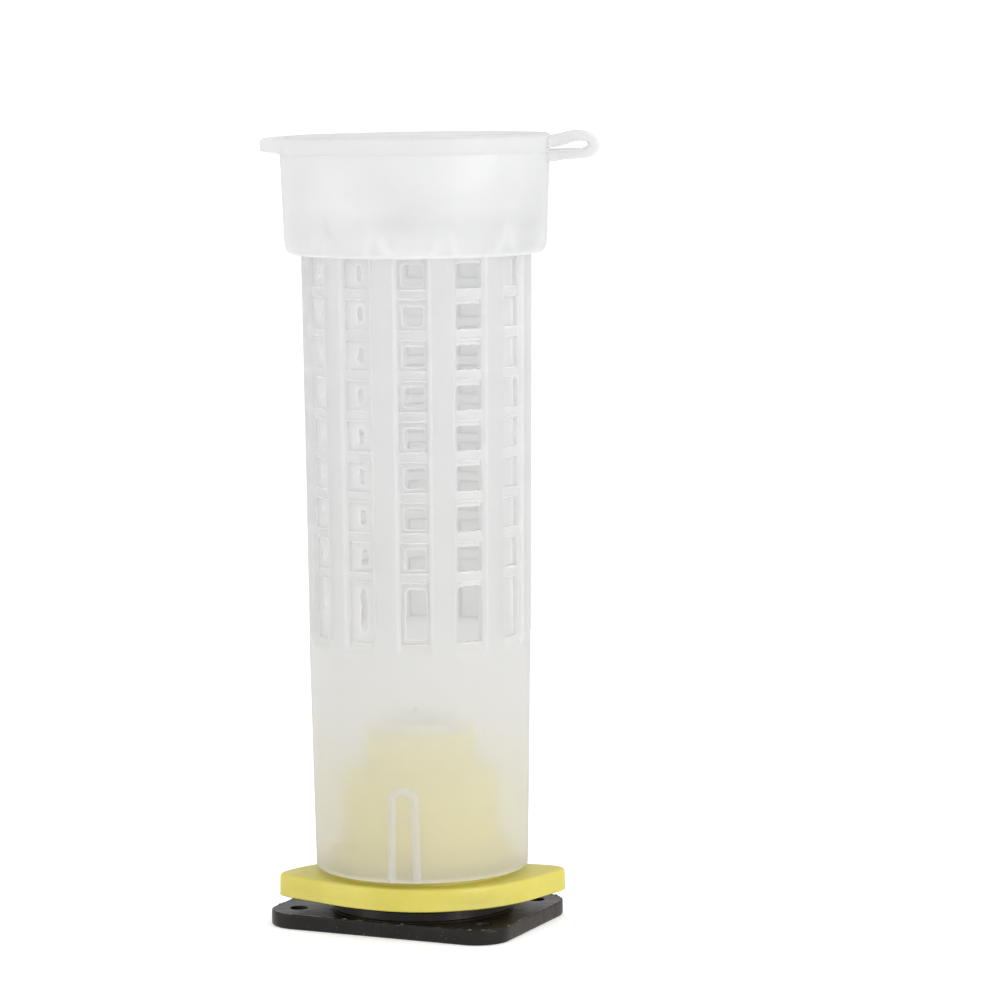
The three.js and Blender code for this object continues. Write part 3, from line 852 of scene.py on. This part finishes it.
# -------------------------------------------------------------------------------- hinge strap
def strap():
    mid = [
        (12.72, 70.2, 1.0), (13.35, 70.28, 1.14), (13.85, 70.32, 1.04), (14.45, 70.38, 0.96), (15.2, 70.41, 0.92),
        (15.9, 70.42, 0.88), (16.62, 70.48, 0.88), (17.17, 70.72, 0.9), (17.45, 71.03, 0.92),
        (17.49, 71.36, 0.92), (17.38, 71.68, 0.92), (17.06, 71.95, 0.93), (16.6, 72.13, 0.94), (16.0, 72.17, 0.96),
        (15.3, 72.08, 1.0), (14.5, 71.86, 1.08), (13.8, 71.7, 1.08), (13.4, 71.65, 1.05), (12.72, 71.63, 1.02),
    ]
    path = open_spline(mid, 10)
    rings = []
    section = []
    r = 0.3
    for cx, cy, a0 in ((1, 1, 0), (-1, 1, 90), (-1, -1, 180), (1, -1, 270)):
        for i in range(5):
            a = math.radians(a0 + 22.5 * i)
            section.append((cx, cy, math.cos(a), math.sin(a)))
    for i, (x, z, t) in enumerate(path):
        b, a = path[max(i - 1, 0)], path[min(i + 1, len(path) - 1)]
        d = math.hypot(a[0] - b[0], a[1] - b[1])
        tx, tz = (a[0] - b[0]) / d, (a[1] - b[1]) / d
        nx, nz = -tz, tx
        w = 3.2 + 0.0 * x + 0.55 * smooth((13.9 - x) / 0.9)
        rr = min(r, t * 0.42)
        ring = []
        for cx, cy, ca, sa in section:
            across = cx * (t / 2 - rr) + rr * ca
            y = cy * (w - rr) + rr * sa
            px, pz = x + nx * across, z + nz * across
            ring.append((px, y + 0.02 * rnd(px, pz, y), pz + TB))
        rings.append(ring)
    v, f = skin(rings)
    o = make("hinge_band", v, f, FROSTED_BAND, None, ["hinge_strap"], 40)
    # The turn lies in the slit between the two strands, which slants up towards the bend.
    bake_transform(o)
    return o


# --------------------------------------------------------------------------------- cup holder
FLANGE_OUTLINE = [
    [-14.0, -2.05], [-12.75, -3.5], [-11.4, -4.62], [-9.6, -6.25], [-7.6, -7.85], [-5.4, -9.2],
    [-3.4, -10.15], [-1.3, -10.7], [0.9, -10.85], [3.0, -10.6], [5.2, -9.95], [7.2, -8.9],
    [9.0, -7.5], [10.6, -5.85], [12.15, -3.75], [13.45, -2.1], [14.05, -1.2], [14.2, -0.45],
    [13.6, 0.4], [12.3, 1.05], [10.6, 1.9], [10.2, 4.0], [9.0, 6.2], [7.2, 8.2], [5.0, 9.7],
    [2.5, 10.6], [0, 10.85], [-2.5, 10.55], [-5.0, 9.5], [-7.2, 7.8], [-9.0, 5.6], [-10.6, 3.1],
    [-12.4, 1.35], [-13.8, -0.45], [-14.15, -1.35],
]


def holder():
    dense = closed_spline(FLANGE_OUTLINE, 12)
    th = np.unwrap(np.arctan2(dense[:, 1], dense[:, 0]))
    rr = np.hypot(dense[:, 0], dense[:, 1])
    order = np.argsort(np.mod(th, 2 * math.pi))
    th, rr = np.mod(th, 2 * math.pi)[order], rr[order]
    th = np.concatenate([th[-3:] - 2 * math.pi, th, th[:3] + 2 * math.pi])
    rr = np.concatenate([rr[-3:], rr, rr[:3]])
    outline = lambda a: float(np.interp(a % (2 * math.pi), th, rr))
    angles = list(np.linspace(0, 2 * math.pi, 200, endpoint=False))
    for centre in (math.atan2(-1.8, -14.1), math.atan2(-0.7, 13.9)):
        angles = [a for a in angles if abs((a - centre + math.pi) % (2 * math.pi) - math.pi) > math.radians(9)]
        angles += [(centre + math.radians(d)) % (2 * math.pi) for d in np.linspace(-8.6, 8.6, 44)]
    angles = sorted(angles)
    lo, hi = 2.85, 5.1
    profile = (
        fillet([(0.02, 8.6), (4.3, 8.6), (4.3, 1.2), (5.75, 1.2), (5.75, lo), (6.4, lo)], {1: 0.4, 2: 0.2, 3: 0.3, 4: 0.15}, 3)
        + [("o", 0.3, lo), ("o", 0.14, lo + 0.03), ("o", 0.04, lo + 0.09), ("o", -0.05, lo + 0.13), ("o", -0.06, lo + 0.17),
           ("o", 0.0, lo + 0.24), ("o", 0.0, lo + 0.8), ("o", 0.015, hi - 0.75), ("o", 0.03, hi - 0.3), ("o", 0.08, hi - 0.14), ("o", 0.19, hi - 0.035),
           ("o", 0.34, hi)]
        + fillet(
            [(9.6, hi), (9.1, hi), (9.05, 7.7), (7.7, 7.7), (7.66, 15.1), (5.6, 15.1), (5.55, 19.4),
             (4.4, 19.4), (4.4, 10.3), (0.02, 10.3)],
            {1: 0.2, 2: 0.45, 3: 0.25, 4: 0.45, 5: 0.25, 6: 0.3, 7: 0.2, 8: 0.4}, 4)
    )

    def wobble(a, r, z, p):
        if p[0] == "o":
            r += 0.025 * rnd(math.cos(a) * 2.5, math.sin(a) * 2.5, z * 0.3)
            if p[1] < 0:  # parting-line flash comes and goes
                r += 0.035 * max(0.0, rnd(math.cos(a) * 9, math.sin(a) * 9, 2)) - 0.02
        return r, z

    v, f = turned(profile, outline, angles, wobble=wobble)
    return make("holder_body", v, f, YELLOW, "holder", ["cup_holder"], 40)


def cup():
    profile = fillet(
        [(0.02, 10.62), (3.2, 10.62), (4.08, 11.8), (4.1, 19.43), (4.9, 19.43), (4.9, 20.2), (3.75, 20.2),
         (3.42, 19.2), (3.35, 14.3), (2.6, 12.9), (1.4, 12.2), (0.02, 12.1)],
        {1: 0.5, 2: 0.6, 3: 0.1, 4: 0.12, 5: 0.3, 6: 0.4, 7: 0.5, 8: 2.0, 9: 1.0}, 4)
    v, f = turned(profile, n=96)
    return make("cell_cup_body", v, f, AMBER, "cup", ["cell_cup"], 40)


# ---------------------------------------------------------------------------------------- base
def base():
    L, W, R, T, YAW = 25.6, 19.1, 3.4, 1.5, math.radians(-25.64)
    NX, NY = 10.1, 6.3
    plan = []
    for cx, cy, a0 in ((L / 2 - R, -W / 2 + R, -90), (L / 2 - R, W / 2 - R, 0), (-L / 2 + R, W / 2 - R, 90), (-L / 2 + R, -W / 2 + R, 180)):
        for i in range(17):
            a = math.radians(a0 + 90 * i / 16)
            plan.append((cx + R * math.cos(a), cy + R * math.sin(a)))
    fine = []
    for i, p in enumerate(plan):
        q = plan[(i + 1) % len(plan)]
        d = math.hypot(q[0] - p[0], q[1] - p[1])
        n = max(1, int(round(d / 0.33)))
        fine += [(p[0] + (q[0] - p[0]) * k / n, p[1] + (q[1] - p[1]) * k / n) for k in range(n)]

    def ring(z, inset, burr=0.0):
        out = []
        for i, (x, y) in enumerate(fine):
            px, py = fine[i - 1]
            qx, qy = fine[(i + 1) % len(fine)]
            dx, dy = qx - px, qy - py
            d = math.hypot(dx, dy)
            nx, ny = dy / d, -dx / d
            e = -inset + 0.015 * rnd(x * 0.6, y * 0.6, z)
            zz = z
            if burr:
                k = max(0.0, rnd(x * 2.4, y * 2.4, 4.0) - 0.04) * 1.9
                zz += burr * k
                e += 0.02 * k
            out.append((x + nx * e, y + ny * e, zz))
        return out

    rings = [
        ring(0.0, 0.22), ring(0.03, 0.09), ring(0.12, 0.02), ring(0.24, 0.0), ring(0.7, -0.005), ring(T - 0.3, 0.0),
        ring(T - 0.14, 0.01, 0.02), ring(T - 0.05, 0.05, 0.1), ring(T, 0.12, 0.17), ring(T, 0.2, 0.03), ring(T, 0.45),
    ]
    v, f = skin(rings)
    plate = make("plate_work", v, f, BLACK, None)
    c, s = math.cos(YAW), math.sin(YAW)
    turn = Matrix(((c, -s, 0, -0.5 * MM), (s, c, 0, 0), (0, 0, 1, 0), (0, 0, 0, 1)))

    def rod(name, r, z0, z1, n=40, profile=None):
        vv, ff = turned(profile or [(0.02, z0), (r, z0), (r, z1), (0.02, z1)], n=n)
        return make(name, vv, ff, BLACK, None)

    cutters = []
    for i in (-1, 1):
        for j in (-1, 1):
            o = rod("nail", 0.85, -1, 4, profile=[(0.02, -1), (0.85, -1), (0.85, T - 0.12), (0.88, T - 0.04), (0.94, T), (0.94, 4), (0.02, 4)])
            o.location = (i * NX * MM, j * NY * MM, 0)
            cutters.append((o, "DIFFERENCE"))
    ridge = rod("boss", 0, 0, 0, 128, fillet([(0.02, T - 0.35), (9.35, T - 0.35), (9.3, T + 0.05), (9.0, T + 0.12), (8.95, 2.55), (0.02, 2.55)], {2: 0.05, 3: 0.12, 4: 0.25}))
    # the round boss is on the tube's axis, so it is moved by the inverse of the plate's turn
    ridge.matrix_world = turn.inverted()
    cutters.append((ridge, "UNION"))
    sock = rod("socket", 0, 0, 0, 96, fillet([(0.02, 0.9), (6.05, 0.9), (6.05, 2.4), (6.3, 2.62), (6.3, 4), (0.02, 4)], {1: 0.2}))
    sock.matrix_world = turn.inverted()
    cutters.append((sock, "DIFFERENCE"))
    for o, op in cutters:
        m = plate.modifiers.new("b", "BOOLEAN")
        m.operation, m.object, m.solver = op, o, "EXACT"
    bpy.context.view_layer.update()
    dg = bpy.context.evaluated_depsgraph_get()
    mesh = bpy.data.meshes.new_from_object(plate.evaluated_get(dg), depsgraph=dg)
    mesh.transform(turn)
    for o in [plate] + [o for o, _ in cutters]:
        bpy.data.objects.remove(o)
    mesh.name = "plate"
    mesh.shade_smooth()
    mesh.set_sharp_from_angle(angle=math.radians(32))
    mesh.materials.clear()
    mesh.materials.append(BLACK)
    o = bpy.data.objects.new("plate", mesh)
    bpy.context.scene.collection.objects.link(o)
    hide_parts("mounting_base")
    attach(o, "base")
    return o


PIECES = [cage(), lid(), strap(), holder(), cup(), base()]


# --------------------------------------------------------------------------------------- stage
def stage():
    """Pale floor that curves up into a pale backdrop."""
    m, nt, b, out = nodes_of("studio_paper")
    fibre = tex(nt, "Noise", 40, 3, 0.5)
    nt.links.new(ramp(nt, fibre, [(0.3, (0.90, 0.90, 0.90)), (0.7, (0.915, 0.915, 0.915))]), b.inputs["Base Color"])
    b.inputs["Roughness"].default_value = 0.9
    b.inputs["Specular IOR Level"].default_value = 0.0
    b.inputs["Emission Color"].default_value = (1, 1, 1, 1)
    b.inputs["Emission Strength"].default_value = 0.3
    pts = [(-1500, 0), (0, 0), (450, 0)]
    for i in range(1, 17):
        a = math.radians(90 * i / 16)
        pts.append((450 + 350 * math.sin(a), 350 - 350 * math.cos(a)))
    pts.append((800, 2200))
    verts, faces = [], []
    for y, z in pts:
        verts += [(-2500, y, z - 0.02), (2500, y, z - 0.02)]
    for i in range(len(pts) - 1):
        faces.append((2 * i, 2 * i + 1, 2 * i + 3, 2 * i + 2))
    o = make("backdrop", verts, faces, m, None)
    o.visible_glossy = o.visible_transmission = False


stage()


def lamp(name, where, at, size, power, colour=(1, 1, 1)):
    d = bpy.data.lights.new(name, "AREA")
    d.shape, d.size, d.size_y = "RECTANGLE", size[0], size[1]
    d.energy, d.color = power, colour
    o = bpy.data.objects.new(name, d)
    o.location = where
    o.rotation_euler = (Vector(at) - Vector(where)).to_track_quat("-Z", "Y").to_euler()
    o.visible_transmission = False
    bpy.context.scene.collection.objects.link(o)


world = bpy.data.worlds.new("studio")
bpy.context.scene.world = world
world.use_nodes = True
world.node_tree.nodes["Background"].inputs[0].default_value = (1, 1, 1, 1)
world.node_tree.nodes["Background"].inputs[1].default_value = 0.85
lamp("softbox_left", (-0.57, -0.20, 0.16), (0, 0, 0.05), (0.26, 0.4), 0.58)
lamp("softbox_right", (0.44, -0.41, 0.20), (0, 0, 0.05), (0.26, 0.4), 1.42)

# -------------------------------------------------------------------------------------- camera
YAW, PITCH, ROLL = math.radians(1.16), math.radians(6.42), math.radians(0.492)
fwd = Vector((math.sin(YAW) * math.cos(PITCH), math.cos(YAW) * math.cos(PITCH), -math.sin(PITCH)))
right = Vector((math.cos(YAW), -math.sin(YAW), 0))
down = fwd.cross(right)
r2 = math.cos(ROLL) * right + math.sin(ROLL) * down
d2 = -math.sin(ROLL) * right + math.cos(ROLL) * down
cam_data = bpy.data.cameras.new("camera")
cam_data.lens, cam_data.sensor_width = 146.44, 36.0
cam_data.clip_start, cam_data.clip_end = 0.01, 20
cam = bpy.data.objects.new("camera", cam_data)
cam.matrix_world = Matrix(
    (
        (r2.x, -d2.x, -fwd.x, 0.0),
        (r2.y, -d2.y, -fwd.y, -0.400),
        (r2.z, -d2.z, -fwd.z, (81.28 + TB) * MM),
        (0, 0, 0, 1),
    )
)
bpy.context.scene.collection.objects.link(cam)
bpy.context.scene.camera = cam
bpy.context.scene.view_settings.view_transform = "Standard"
